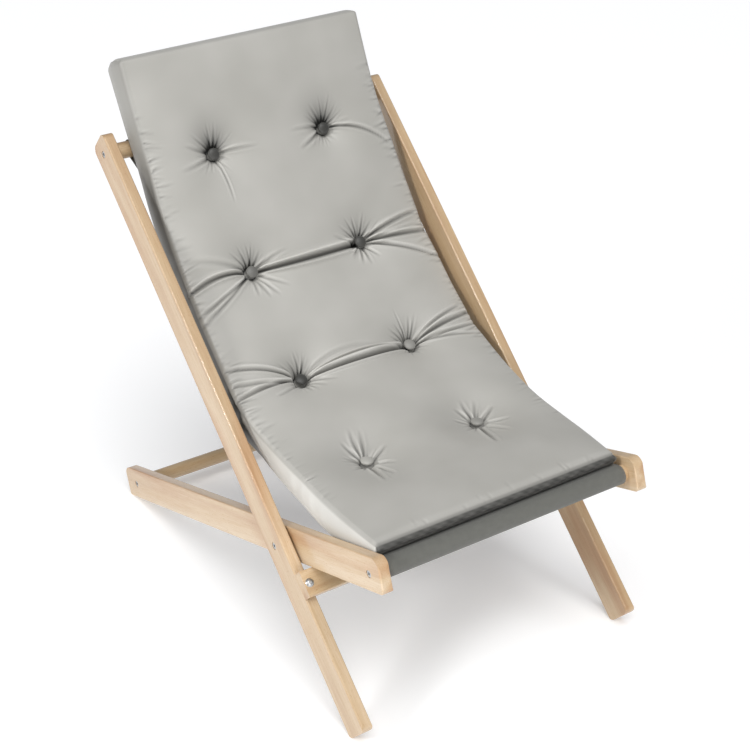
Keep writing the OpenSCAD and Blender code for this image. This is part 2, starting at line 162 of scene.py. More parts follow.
# Place and size in metres, and power in watts.
LEFT_BOX = (-3.0, -0.2, 1.7), 0.6, 44
FRONT_BOX = (-0.9, -3.2, 0.9), 2.0, 32
scene.view_settings.view_transform = "Standard"
floor_mesh = bpy.data.meshes.new("studio_floor")
bm = bmesh.new()
bmesh.ops.create_grid(bm, x_segments=1, y_segments=1, size=FLOOR_HALF)
bm.to_mesh(floor_mesh)
bm.free()
floor = bpy.data.objects.new("studio_floor", floor_mesh)
scene.collection.objects.link(floor)
# Matt white paper: bright, with no gloss. A little light shines through it, as on a photographer's table.
paper, _ = new_finish(
    "matt_paper", Base_Color=linear("#E6E6E6"), Roughness=0.9, Specular_IOR_Level=0.1,
    Emission_Color=linear("#FFFFFF"), Emission_Strength=FLOOR_GLOW)
floor_mesh.materials.append(paper)

world = bpy.data.worlds.new("light_tent")
world.use_nodes = True
world.node_tree.nodes["Background"].inputs["Color"].default_value = linear("#F4F7FF")
world.node_tree.nodes["Background"].inputs["Strength"].default_value = TENT_LIGHT
scene.world = world


def aim(light, place, target):
    """Puts a light in the scene at a place, facing a target."""
    lamp = bpy.data.objects.new(light.name, light)
    scene.collection.objects.link(lamp)
    turn = (Vector(target) - Vector(place)).to_track_quat("-Z", "Y")
    lamp.matrix_world = Matrix.Translation(place) @ turn.to_matrix().to_4x4()


def soft_box(name, place, size, power):
    """A square area light that faces the chair."""
    light = bpy.data.lights.new(name, "AREA")
    light.shape = "SQUARE"
    light.size = size
    light.energy = power
    aim(light, place, CHAIR_MIDDLE)


sky = bpy.data.lights.new("overhead_light", "SUN")
sky.angle = OVERHEAD_SPREAD
sky.energy = OVERHEAD_LIGHT
aim(sky, OVERHEAD_FROM, (0, 0, 0))
soft_box("left_box", *LEFT_BOX)
soft_box("front_box", *FRONT_BOX)

# %% [markdown]
# ## Beech
# The frame is planed beech under a clear satin lacquer: pale, with long soft bands, hair-fine fibres and
# the short darker flecks that mark this wood. The bands and fibres run along each piece, so the pattern is
# turned with the piece: along the back rails, along the seat rails or across the chair.

# %% Beech
GRAIN_BAND = 26 * MM   # width of a band across the grain
FIBRE = 1.6 * MM       # drawn about three times as wide as real, to show from a step away
FLECK = 0.9 * MM       # width of a fleck
PATCH = 55 * MM        # width of a browner patch of heartwood
LONG_STRETCH, SHORT_STRETCH = 26, 7     # length over width of bands and fibres, of flecks and patches
BACK_SLOPE, SEAT_SLOPE = 42, -19.587    # of the rails, in degrees


def beech(name, turn, light, middle, dark):
    """Beech whose grain lies along the local Y of the turn, an XYZ rotation in degrees. The hex colours are
    those of its bands."""
    # Lacquered wood: no metal, a soft gloss from the planed fibres and a thin clear coat on top.
    wood, shader = new_finish(name, Coat_Weight=0.8, Coat_Roughness=0.12)
    turn = [math.radians(a) for a in turn]
    place = add_node(wood, "ShaderNodeTexCoord").outputs["Object"]
    long, short = (
        add_node(wood, "ShaderNodeMapping", {"Rotation": turn, "Scale": (1, stretch, 1)}, {"Vector": place},
                 vector_type="TEXTURE").outputs["Vector"]
        for stretch in (LONG_STRETCH, SHORT_STRETCH)
    )
    bands, fibres, flecks, patches = (
        add_node(wood, "ShaderNodeTexNoise", {"Scale": 1 / size, **more}, {"Vector": grain}).outputs["Fac"]
        for size, grain, more in (
            (GRAIN_BAND, long, {"Detail": 2.5, "Distortion": 0.6}),
            (FIBRE, long, {"Detail": 3, "Roughness": 0.6}),
            (FLECK, short, {"Detail": 1}),
            (PATCH, short, {"Detail": 1, "Distortion": 0.5}),
        )
    )
    colour = layered(
        wood,
        (bands, [(0.30, light), (0.52, middle), (0.72, dark)]),
        (fibres, [(0.30, "#F3ECE2"), (0.62, "#FFFFFF")]),
        (flecks, [(0.66, "#FFFFFF"), (0.74, "#E2D0BA")]),
        (patches, [(0.52, "#FFFFFF"), (0.72, "#E9D3BF")]),
    )
    gloss = add_node(wood, "ShaderNodeMapRange", {"To Min": 0.52, "To Max": 0.40}, {"Value": fibres})
    relief = add_node(wood, "ShaderNodeBump", {"Strength": 0.25, "Distance": 0.15 * MM}, {"Height": fibres})
    wire(wood, shader, Base_Color=colour, Roughness=gloss.outputs["Result"], Normal=relief.outputs["Normal"])
    return wood


# The back rails' beech is darker than the seat rails': painted shade against the strong left light on the
# back rails' outer faces.
back_beech = beech("beech_along_back_rails", (BACK_SLOPE, 0, 0), "#C6AF90", "#BDA380", "#B09270")
seat_beech = beech("beech_along_seat_rails", (SEAT_SLOPE, 0, 0), "#CFBA9D", "#C8AF8D", "#BB9D7B")
cross_beech = beech("beech_across", (0, 0, 90), "#C8B192", "#BFA581", "#B19370")
print("beech:", [m.name for m in (back_beech, seat_beech, cross_beech)])

# %% [markdown]
# ## Zinc-plated steel
# The screws, bolts, washers and nuts are zinc-plated steel, a bright metal that is a little cloudy where
# the plating has dulled. A fine noise varies its roughness.

# %% Zinc-plated steel
CLOUD = 2.5 * MM
zinc, zinc_shader = new_finish("zinc_plated_steel", Base_Color=linear("#B9BABA"), Metallic=1.0)
cloud = add_node(
    zinc, "ShaderNodeTexNoise", {"Scale": 1 / CLOUD, "Detail": 4},
    {"Vector": add_node(zinc, "ShaderNodeTexCoord").outputs["Object"]},
).outputs["Fac"]
dulled = add_node(zinc, "ShaderNodeMapRange", {"To Min": 0.30, "To Max": 0.50}, {"Value": cloud})
wire(zinc, zinc_shader, Roughness=dulled.outputs["Result"])

FINISHES = {
    back_beech: ["back_rail_left", "back_rail_right"],
    seat_beech: ["seat_rail_left", "seat_rail_right"],
    cross_beech: ["head_bar", "front_bar", "rear_bar", "stop_board"],
    zinc: [
        "head_bar_screws", "front_bar_screws", "rear_bar_screws", "stop_board_bolts",
        *(f"pivot_{kind}_{side}" for kind in ("bolt", "spacer", "washer", "nut")
          for side in ("left", "right")),
    ],
}
for finish, names in FINISHES.items():
    for name in names:
        piece = nodes[name]
        for slot in piece.material_slots:
            slot.material = finish
        if not piece.material_slots:
            piece.data.materials.append(finish)
print("rigid pieces with a finish:", sum(len(names) for names in FINISHES.values()))

# %% [markdown]
# ## The line of the sling
# Seen from the side the cloth leaves the front bar's top, sags under the sitter and rises to the head bar.
# One cubic curve follows it. Everything soft is made flat first, with a length s along the cloth and a
# height h above it, and then laid on this line, as an upholsterer makes a cushion on a table.

# %% The line of the sling
CLOTH = 1.6 * MM
GAP = 0.3 * MM


def bar_centre(node):
    """Side-view centre of a round bar, and its radius."""
    low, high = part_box(node)
    return np.array([(low[1] + high[1]) / 2, (low[2] + high[2]) / 2]), (high[2] - low[2]) / 2


def heading(slope):
    """Side-view unit vector of a slope."""
    return np.array([math.cos(slope), math.sin(slope)])


front_bar, bar_radius = bar_centre("front_bar")
head_bar, _ = bar_centre("head_bar")
WRAP = bar_radius + GAP + CLOTH / 2
LEAVE, MEET = math.radians(-16), math.radians(64)
FRONT_PULL, HEAD_PULL = 0.045, 0.735   # handles of the curve, as shares of the span
lie_start = front_bar + WRAP * heading(LEAVE + math.pi / 2)
lie_stop = head_bar + WRAP * heading(MEET + math.pi / 2)
span = np.linalg.norm(lie_stop - lie_start)
t = np.linspace(0, 1, 301)[:, None]
lie = (
    (1 - t) ** 3 * lie_start
    + 3 * t * (1 - t) ** 2 * (lie_start + FRONT_PULL * span * heading(LEAVE))
    + 3 * t ** 2 * (1 - t) * (lie_stop - HEAD_PULL * span * heading(MEET))
    + t ** 3 * lie_stop
)
lie_s = np.concatenate([[0], np.cumsum(np.linalg.norm(np.diff(lie, axis=0), axis=1))])
lie_slope = np.unwrap(np.arctan2(*np.gradient(lie, axis=0).T[::-1]))
LIE = lie_s[-1]


def slope_at(s):
    """Slope of the line at the length s along the cloth."""
    return np.interp(s, lie_s, lie_slope)


def above(s, h):
    """Side view (y, z) at the length s along the cloth and the height h above it. The line runs straight on
    past the two bars."""
    s, slope = np.asarray(s, float), slope_at(s)
    past = np.maximum(0, s - LIE) + np.minimum(0, s)
    y = np.interp(s, lie_s, lie[:, 0]) + past * np.cos(slope) - h * np.sin(slope)
    z = np.interp(s, lie_s, lie[:, 1]) + past * np.sin(slope) + h * np.cos(slope)
    return np.stack([y, z], -1)


print("bars are", round(span, 4), "m apart and the cloth between them is", round(LIE, 4), "m long")

# %% [markdown]
# ## The soft pieces
# When the seat frame swings up, cloth near the head bar stays with the back frame and cloth at the front
# bar goes with the seat frame. In between it hangs in a loose loop behind the frame. The helpers here make
# each soft piece, hide the CAD nodes it stands for, give it a UV map and bake its place into its points.


def soft_piece(name, bm, finish, slot, *replaced):
    """Makes an object from a bmesh, gives it its finish and hides the CAD nodes it stands for."""
    mesh = bpy.data.meshes.new(name)
    bm.to_mesh(mesh)
    bm.free()
    mesh.shade_smooth()
    mesh.materials.append(finish)
    piece = bpy.data.objects.new(name, mesh)
    scene.collection.objects.link(piece)
    if replaced:
        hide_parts(*replaced)
    return piece


def cloth_map(bm, place):
    """Adds the UV map of the cloth, in metres, from a function of the vertex."""
    uv = bm.loops.layers.uv.new("cloth")
    for face in bm.faces:
        for loop in face.loops:
            loop[uv].uv = place(loop.vert)


def fold(piece):
    """Bakes a piece's place into its points."""
    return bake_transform(piece)


# %% [markdown]
# ## Canvas
# The sling is a plain-woven cotton canvas in dark grey: matt, with threads that pass over and under each
# other. The weave follows the cloth, so it reads the piece's own UV map, which is in metres. Two waves, one
# along each thread direction, multiply into the over-and-under relief.

# %% Canvas
THREAD = 1.2 * MM     # drawn coarser than the real 0.7 mm, to show from a step away
SLUB = 100 / 9 * MM   # between thick places in the yarn


def wave_scale(pitch):
    """The Wave node's scale for a pattern that repeats every pitch metres."""
    return math.tau / (20 * pitch)


canvas, canvas_shader = new_finish(
    "cotton_canvas", Roughness=0.85, Specular_IOR_Level=0.25, Sheen_Weight=0.15, Sheen_Roughness=0.6)
cloth_uv = add_node(canvas, "ShaderNodeUVMap", uv_map="cloth").outputs["UV"]
warp, weft = (
    add_node(canvas, "ShaderNodeTexWave", {"Scale": wave_scale(THREAD), "Distortion": 0.6, "Detail": 1},
             {"Vector": cloth_uv}, bands_direction=axis).outputs["Fac"]
    for axis in ("X", "Y")
)
weave = add_node(canvas, "ShaderNodeMath", links={0: warp, 1: weft}, operation="MULTIPLY").outputs[0]
slub = add_node(canvas, "ShaderNodeTexNoise", {"Scale": 1 / SLUB, "Detail": 5},
                {"Vector": cloth_uv}).outputs["Fac"]
canvas_colour = layered(
    canvas,
    (weave, [(0.0, "#5A5A55"), (0.7, "#6E6E68")]),
    (slub, [(0.35, "#F6F6F6"), (0.65, "#FFFFFF")]),
)
canvas_relief = add_node(canvas, "ShaderNodeBump", {"Strength": 0.5, "Distance": 0.25 * MM},
                         {"Height": weave})
wire(canvas, canvas_shader, Base_Color=canvas_colour, Normal=canvas_relief.outputs["Normal"])
print("canvas threads every", THREAD / MM, "mm")

# %% [markdown]
# ## Sling
# One strip of canvas, folded back at each end into a tunnel for the bar and stitched down. In side view it
# is a single line: hem, tunnel round the front bar, the long sag, tunnel round the head bar, hem. That line
# is drawn as a chain of edges and swept across the chair, and the strip then gets its thickness.

# %% Sling
SLING_HALF = 240 * MM
TUNNEL, HEM = 38 * MM, 17 * MM
UNDER = CLOTH + GAP / 2
WRAP_TURN = math.radians(250)
SLING_COLUMNS, SAG_POINTS, WRAP_POINTS, HEM_POINTS = 48, 150, 28, 5


def round_bar(centre, slope, begin, end):
    """Points of the cloth round a bar, between two angles from where it leaves the bar."""
    angles = slope + math.pi / 2 + np.linspace(begin, end, WRAP_POINTS)
    return [centre + WRAP * heading(a) for a in angles]


side_view = (
    list(above(np.linspace(TUNNEL + HEM, TUNNEL, HEM_POINTS), -UNDER))
    + round_bar(front_bar, LEAVE, WRAP_TURN, 0)
    + list(above(np.linspace(0, LIE, SAG_POINTS)[1:-1], 0))
    + round_bar(head_bar, MEET, 0, -WRAP_TURN)
    + list(above(np.linspace(LIE - TUNNEL, LIE - TUNNEL - HEM, HEM_POINTS), -UNDER))
)
cloth_v = np.concatenate([[0], np.cumsum([np.linalg.norm(b - a) for a, b in zip(side_view, side_view[1:])])])
bm = bmesh.new()
along = bm.verts.layers.float.new("along")
chain = [bm.verts.new((-SLING_HALF, y, z)) for y, z in side_view]
edges = [bm.edges.new(pair) for pair in zip(chain, chain[1:])]
for vert, v in zip(chain, cloth_v):
    vert[along] = v
bmesh.ops.spin(
    bm, geom=chain + edges, axis=(1, 0, 0), cent=(0, 0, 0), angle=0, steps=SLING_COLUMNS,
    dvec=(2 * SLING_HALF / SLING_COLUMNS, 0, 0), use_duplicate=False,
)
bmesh.ops.recalc_face_normals(bm, faces=bm.faces)
bm.normal_update()
for vert in bm.verts:
    vert.co -= vert.normal * CLOTH / 2
bmesh.ops.solidify(bm, geom=bm.faces, thickness=-CLOTH)
cloth_map(bm, lambda vert: (vert.co.x, vert[along]))
sling = soft_piece("canvas_sling", bm, canvas, "canvas", "sling")
fold(sling)

# %% [markdown]
# ## Stitches
# Two rows of thick thread close each tunnel. A stitch is a small flattened bead of thread, and an Array
# modifier repeats it across the cloth. The rows at the front bar go with the seat frame and those at the
# head bar with the back frame.

# %% Stitches
STITCH, PITCH, THREAD_R = 3.4 * MM, 4.6 * MM, 0.35 * MM
THREAD_PLY, ROW_INSET, FLATTENED = 0.8 * MM, 4 * MM, 0.6
thread_finish, thread_shader = new_finish("waxed_thread", Base_Color=linear("#6A6C66"), Roughness=0.6)
thread_twist = add_node(
    thread_finish, "ShaderNodeTexWave", {"Scale": wave_scale(THREAD_PLY), "Distortion": 0.4},
    {"Vector": add_node(thread_finish, "ShaderNodeTexCoord").outputs["Object"]}, bands_direction="DIAGONAL",
).outputs["Fac"]
thread_relief = add_node(thread_finish, "ShaderNodeBump", {"Strength": 0.6, "Distance": 0.2 * MM},
                         {"Height": thread_twist})
wire(thread_finish, thread_shader, Normal=thread_relief.outputs["Normal"])


def stitch_rows(name, body, lengths):
    """Rows of stitches across the sling, on both faces, at these lengths along the cloth."""
    bm = bmesh.new()
    count = int(2 * SLING_HALF / PITCH) - 1
    first = -PITCH * (count - 1) / 2
    for s in lengths:
        for h in (CLOTH / 2, -UNDER - CLOTH / 2):
            y, z = above(s, h)
            place = (
                Matrix.Translation((first, y, z))
                @ Matrix.Rotation(float(slope_at(s)), 4, "X")
                @ Matrix.Diagonal((STITCH / 2, THREAD_R, FLATTENED * THREAD_R, 1))
            )
            bmesh.ops.create_uvsphere(bm, u_segments=8, v_segments=5, radius=1, matrix=place)
    piece = soft_piece(name, bm, thread_finish, "cord")
    repeat = piece.modifiers.new("across the sling", "ARRAY")
    repeat.count = count
    repeat.use_relative_offset = False
    repeat.use_constant_offset = True
    repeat.constant_offset_displace = (PITCH, 0, 0)
    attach(piece, body)
    return piece


seam_s = np.array([TUNNEL + ROW_INSET, TUNNEL + HEM - ROW_INSET])
front_stitches = stitch_rows("front_tunnel_stitches", "seat_frame", seam_s)
head_stitches = stitch_rows("head_tunnel_stitches", "back_frame", LIE - seam_s)
print("stitches in a row:", front_stitches.modifiers[0].count)

# %% [markdown]
# ## Velvet
# The cushion's cover is a smooth silver-grey velvet with a satin shine. Its short pile catches light where
# the cloth turns away from the eye, which the shader's sheen gives. Light and shade are also painted into its
# colour: an attribute gives, at every point, the plain tone with painted light on the band beside the seat,
# painted shade on the band along the back and at the front, on most of the buttons, in the folds and round
# the tufts. The pile itself is far too fine to draw, so a coarser grain stands for it.

# %% Velvet
PILE = 1.1 * MM
NAP_CLOUD = 120 * MM
velvet, velvet_shader = new_finish(
    "silver_velvet", Roughness=0.44, Specular_IOR_Level=0.4, Sheen_Weight=0.3, Sheen_Roughness=0.4,
    Sheen_Tint=linear("#F4F3EF"))
velvet_uv = add_node(velvet, "ShaderNodeUVMap", uv_map="cloth").outputs["UV"]
cloudy, pile = (
    add_node(velvet, "ShaderNodeTexNoise", {"Scale": 1 / size, "Detail": 2},
             {"Vector": velvet_uv}).outputs["Fac"]
    for size in (NAP_CLOUD, PILE)
)
# The attribute is the cover's plain tone with painted shade and painted highlights worked in.
tone_and_painted_light = add_node(velvet, "ShaderNodeAttribute", attribute_name="tone_and_painted_light").outputs["Fac"]
velvet_colour = layered(
    velvet,
    (tone_and_painted_light, [(0.0, "#1B1B18"), (0.5, "#AFADA7"), (1.0, "#E2E0DA")]),
    (cloudy, [(0.3, "#F2F2F1"), (0.7, "#FFFFFF")]),
    (pile, [(0.3, "#F1F1F1"), (0.7, "#FFFFFF")]),
)
velvet_relief = add_node(velvet, "ShaderNodeBump", {"Strength": 0.2, "Distance": 0.12 * MM}, {"Height": pile})
wire(velvet, velvet_shader, Base_Color=velvet_colour, Normal=velvet_relief.outputs["Normal"])
print("velvet pile drawn at", PILE / MM, "mm")

# %% [markdown]
# ## Cushion: the cut pieces
# The cushion is a boxed one: a top panel, a bottom panel and a band between them. A cube cut into a grid of
# squares gives all three with their seams closed. Its points are kept as places from -1 to 1, and from these
# the cushion is shaped flat, as on the work table.

# %% Cushion: the cut pieces
HALF = 244 * MM
BEGIN, END = 5 * MM, 1122 * MM
ROWS = [(235 + 232 * k) * MM for k in range(4)]
COLUMN = 115 * MM
BUTTON_R = 12 * MM
TUFT_FLAT = BUTTON_R + 2 * MM   # the cover is held flat out to this radius
ON_FACE = 0.999                 # places of the blank past this lie on one of its faces


def boxed_blank(squares):
    """A cube cut into squares along each axis, and its points as an array."""
    bm = bmesh.new()
    bmesh.ops.create_cube(bm, size=2)
    for axis, count in enumerate(squares):
        long_edges = [e for e in bm.edges if abs(e.verts[0].co[axis] - e.verts[1].co[axis]) > 1]
        bmesh.ops.subdivide_edges(bm, edges=long_edges, cuts=count - 1, use_grid_fill=True)
    bm.verts.index_update()
    return bm, np.array([v.co for v in bm.verts])


print("cushion is cut", round(2 * HALF / MM), "by", round((END - BEGIN) / MM), "mm")

# %% [markdown]
# ## Cushion: main form
# The band is 52 mm high, thins towards the front and fills out towards the top end. Filling lifts the panel
# to a soft crown. Eight tufts pull it down to the buttons: steep at the button, then easing out. The
# underside has shallow dips of its own.

# %% Cushion: main form
LIFT = CLOTH / 2 + GAP
BAND, BAND_FRONT, BAND_TOP, CROWN = 52 * MM, 23 * MM, 61 * MM, 15 * MM
THINS_OVER, FILLS_OVER, CROWN_OVER = 260 * MM, 200 * MM, 95 * MM
TUFT_DEPTH = [31 * MM, 31 * MM, 20 * MM, 20 * MM]
TUFT_UNDER, FUNNEL_REACH = 7 * MM, 9 * MM
SEAT_TUFT, BACK_TUFT = (0.3, 64 * MM), (0.6, 46 * MM)   # the funnel's share and the hollow's reach
TUFTS = [(side * COLUMN, row, depth) for row, depth in zip(ROWS, TUFT_DEPTH) for side in (-1, 1)]


def rise(d):
    """How far the crown has risen at the distance d from a seam."""
    q = np.clip(d / CROWN_OVER, 0, 1)
    return q * (2 - q)


def dips(x, s, tufts):
    """Depth of the tufts at each point: a steep funnel at the button in a soft hollow, wider in the seat."""
    total = np.zeros_like(x)
    for tuft_x, tuft_s, depth in tufts:
        away = np.clip(np.hypot(x - tuft_x, s - tuft_s) - BUTTON_R - MM, 0, None)
        steep, reach = SEAT_TUFT if tuft_s == ROWS[0] else BACK_TUFT
        total += depth * (steep * np.exp(-away / FUNNEL_REACH) + (1 - steep) * np.exp(-((away / reach) ** 2)))
    return total


def panel_heights(x, s, crown):
    """Heights of the top panel and of the bottom panel above the sling."""
    front = np.clip(1 - (s - BEGIN) / THINS_OVER, 0, 1) ** 2
    head = np.clip(1 - (END - s) / FILLS_OVER, 0, 1) ** 2
    band = BAND - (BAND - BAND_FRONT) * front + (BAND_TOP - BAND) * head
    filled = crown * rise(HALF - np.abs(x)) * rise(np.minimum(s - BEGIN, END - s))
    top = LIFT + band + filled - dips(x, s, TUFTS)
    return top, LIFT + dips(x, s, [(tx, ts, TUFT_UNDER) for tx, ts, _ in TUFTS])


print("tufts:", len(TUFTS))

# %% [markdown]
# ## Cushion: swelling
# How the stuffed cover swells between its seams and buttons is left to Blender's cloth simulation. A coarser
# copy of the cushion, shaped a little too thin, is held at its bottom, its seams and its buttons, and
# pressure inside blows the cover up for twenty frames. How far each point of the top panel moved, up to a
# cap, is kept, and the copy is thrown away.

# %% Cushion: swelling
SIM_GRID = (64, 144, 6)
THIN, SWELL_MOST, SMOOTHING = 6 * MM, 9 * MM, 6
PRESSURE, FRAMES = 4, 20
swell = np.zeros((SIM_GRID[0] + 1, SIM_GRID[1] + 1))
bm, cube = boxed_blank(SIM_GRID)
x, s = cube[:, 0] * HALF, BEGIN + (cube[:, 1] + 1) / 2 * (END - BEGIN)
up = (cube[:, 2] + 1) / 2
top_h, under_h = panel_heights(x, s, CROWN - THIN)
flat = np.stack([x, s, under_h + (top_h - under_h) * up], -1)
for vert, place in zip(bm.verts, flat):
    vert.co = place
mesh = bpy.data.meshes.new("cover_copy")
bm.to_mesh(mesh)
bm.free()
copy = bpy.data.objects.new("cover_copy", mesh)
scene.collection.objects.link(copy)
away = np.min([np.hypot(x - tx, s - ts) for tx, ts, _ in TUFTS], axis=0)
seam = np.max(np.abs(cube[:, :2]), axis=1) > ON_FACE
held = (up < ON_FACE) | (away < TUFT_FLAT) | seam
copy.vertex_groups.new(name="held").add([int(k) for k in np.nonzero(held)[0]], 1.0, "REPLACE")
cover = copy.modifiers.new("cover", "CLOTH").settings
cover.vertex_group_mass = "held"
cover.use_pressure = True
cover.uniform_pressure_force = PRESSURE
cover.effector_weights.gravity = 0
for step in range(1, FRAMES + 1):
    scene.frame_set(step)
blown = copy.evaluated_get(bpy.context.evaluated_depsgraph_get()).to_mesh()
moved = np.array([v.co.z for v in blown.vertices]) - flat[:, 2]
panel = np.nonzero(up > ON_FACE)[0]
order = panel[np.lexsort((cube[panel, 1], cube[panel, 0]))]
swell = np.clip(moved[order], -SWELL_MOST, SWELL_MOST).reshape(swell.shape)
for _ in range(SMOOTHING):
    wide = np.pad(swell, 1, "edge")
    swell = (wide[:-2, 1:-1] + wide[2:, 1:-1] + wide[1:-1, :-2] + wide[1:-1, 2:] + 4 * swell) / 8
scene.frame_set(1)
bpy.data.objects.remove(copy)
print("cover swelled by", round(swell.min() / MM, 1), "to", round(swell.max() / MM, 1), "mm")


def swelling(x, s):
    """The simulated swelling at any point, read between the coarse copy's points."""
    a = np.clip((x / HALF + 1) / 2, 0, 1) * SIM_GRID[0]
    b = np.clip((s - BEGIN) / (END - BEGIN), 0, 1) * SIM_GRID[1]
    i, j = (np.minimum(c.astype(int), n - 1) for c, n in zip((a, b), SIM_GRID))
    a, b = a - i, b - j
    near = swell[i, j] * (1 - b) + swell[i, j + 1] * b
    far = swell[i + 1, j] * (1 - b) + swell[i + 1, j + 1] * b
    return near * (1 - a) + far * a


# %% [markdown]
# ## Cushion: fine blank
# The finished cushion starts from a finer blank. Its grid lines crowd together round the tufts and along
# the seams, where the cloth bends most, so that sharp folds have points to live on.

# %% Cushion: fine blank
GRID = (176, 400, 10)
TUFT_ZONE, SEAM_ZONE = 40 * MM, 8 * MM
MORE_ACROSS, MORE_ALONG, MORE_AT_SEAMS = 1.8, 2.6, 3
bm, cube = boxed_blank(GRID)


def crowd(places, low, high, focuses):
    """Spreads even places from -1 to 1 over low to high, closer together near each (focus, reach, gain)."""
    fine = np.linspace(low, high, 4001)
    density = 1 + sum(gain * np.exp(-((fine - focus) / reach) ** 2) for focus, reach, gain in focuses)
    share = np.concatenate([[0], np.cumsum((density[1:] + density[:-1]) / 2)])
    return np.interp((places + 1) / 2, share / share[-1], fine)


x = crowd(cube[:, 0], -HALF, HALF, [(side * COLUMN, TUFT_ZONE, MORE_ACROSS) for side in (-1, 1)]
          + [(side * HALF, SEAM_ZONE, MORE_AT_SEAMS) for side in (-1, 1)])
s = crowd(cube[:, 1], BEGIN, END, [(row, TUFT_ZONE, MORE_ALONG) for row in ROWS]
          + [(end, SEAM_ZONE, MORE_AT_SEAMS) for end in (BEGIN, END)])
up = (cube[:, 2] + 1) / 2
on_top, on_side, on_end = up > ON_FACE, np.abs(cube[:, 0]) > ON_FACE, np.abs(cube[:, 1]) > ON_FACE
top_h, under_h = panel_heights(x, s, CROWN - THIN)
top_h = top_h + (swelling(x, s) if swell.any() else THIN * rise(HALF - np.abs(x)))
print("blank:", len(bm.verts), "points, panel", round(top_h[on_top].max() / MM, 1), "mm high at most")

# %% [markdown]
# ## Cushion: folds
# Cloth that is pulled down to a button has too much edge for the hole, so it gathers into fine folds that
# radiate from it. Where the chair bends, long creases also run from button to button and from the buttons
# out to the seams, and the seams themselves pucker. Each fold is a narrow valley between two soft lips. The
# long ones are listed one by one, and a seeded draw places the fine ones, the same in every run.

# %% Cushion: folds
HOLLOW_DEEP, HOLLOW_WIDE = 3.5 * MM, 26 * MM
# Depth at which a fold's painted shade is full: less round the seat's buttons and downhill, most at the
# front.
DARK_AT, DARK_AT_SHORT, DARK_AT_FRONT, DOWNHILL = 6, 3.5, 8, -28
FOLD_ZONE, FADE_IN, LONG_START, FINE_START = 40, 6, 10, 9   # in millimetres, as are all folds
LIP_HIGH, LIP_OUT, LIP_WIDE = 0.6, 1.9, 0.9   # lips beside a valley, as shares of its depth and width
PIT_WIDE, BELOW_OUT, BELOW_WIDE, BELOW_TONE = 0.75, 1.7, 1.3, 0.45   # the painted shade in and below a fold, likewise
SEAT_GATHERS, BACK_GATHERS, ROW_PUCKERS, SIDE_PUCKERS, FRONT_PUCKERS = 13, 20, 10, 52, 12
chance = random.Random(41)
folds, shade = np.zeros_like(x), np.zeros_like(x)


def crease(start, end, depth, width, bow=0.0, begin=0.0, fade=1.0, tone=1.0):
    """Adds a fold from start towards the offset end, in millimetres. It may bow sideways; begin is where it
    starts to show, and a low fade keeps it deep up to its end. It also paints shade in and below the fold and
    a highlight on its lips, which tone weighs."""
    length = math.hypot(*end)
    along_x, along_s = end[0] / length, end[1] / length
    dx, ds = x / MM - start[0], s / MM - start[1]
    along, aside = dx * along_x + ds * along_s, ds * along_x - dx * along_s
    near = np.nonzero(on_top & (along > begin) & (along < length) & (np.abs(aside) < FOLD_ZONE))[0]
    along, aside = along[near], aside[near]
    q = along / length
    upward = (aside - bow * 4 * q * (1 - q)) * (1 if along_x > 0 else -1)
    across = np.abs(upward)
    wide = width * (0.55 + 1.3 * q * (1.4 - q))
    strength = np.clip((along - begin) / FADE_IN, 0, 1) * (1 - q) ** fade
    valley = np.exp(-((across / wide) ** 2))
    lips = LIP_HIGH * np.exp(-(((across - LIP_OUT * wide) / (LIP_WIDE * wide)) ** 2))
    folds[near] += MM * depth * strength * (lips - valley)
    # Painted shade in the valley and just below it, and a painted highlight on the lips.
    below = np.exp(-(((upward + BELOW_OUT * wide) / (BELOW_WIDE * wide)) ** 2))
    pit = np.exp(-((across / (PIT_WIDE * wide)) ** 2))
    shade[near] += tone * strength * (pit + BELOW_TONE * below - lips)


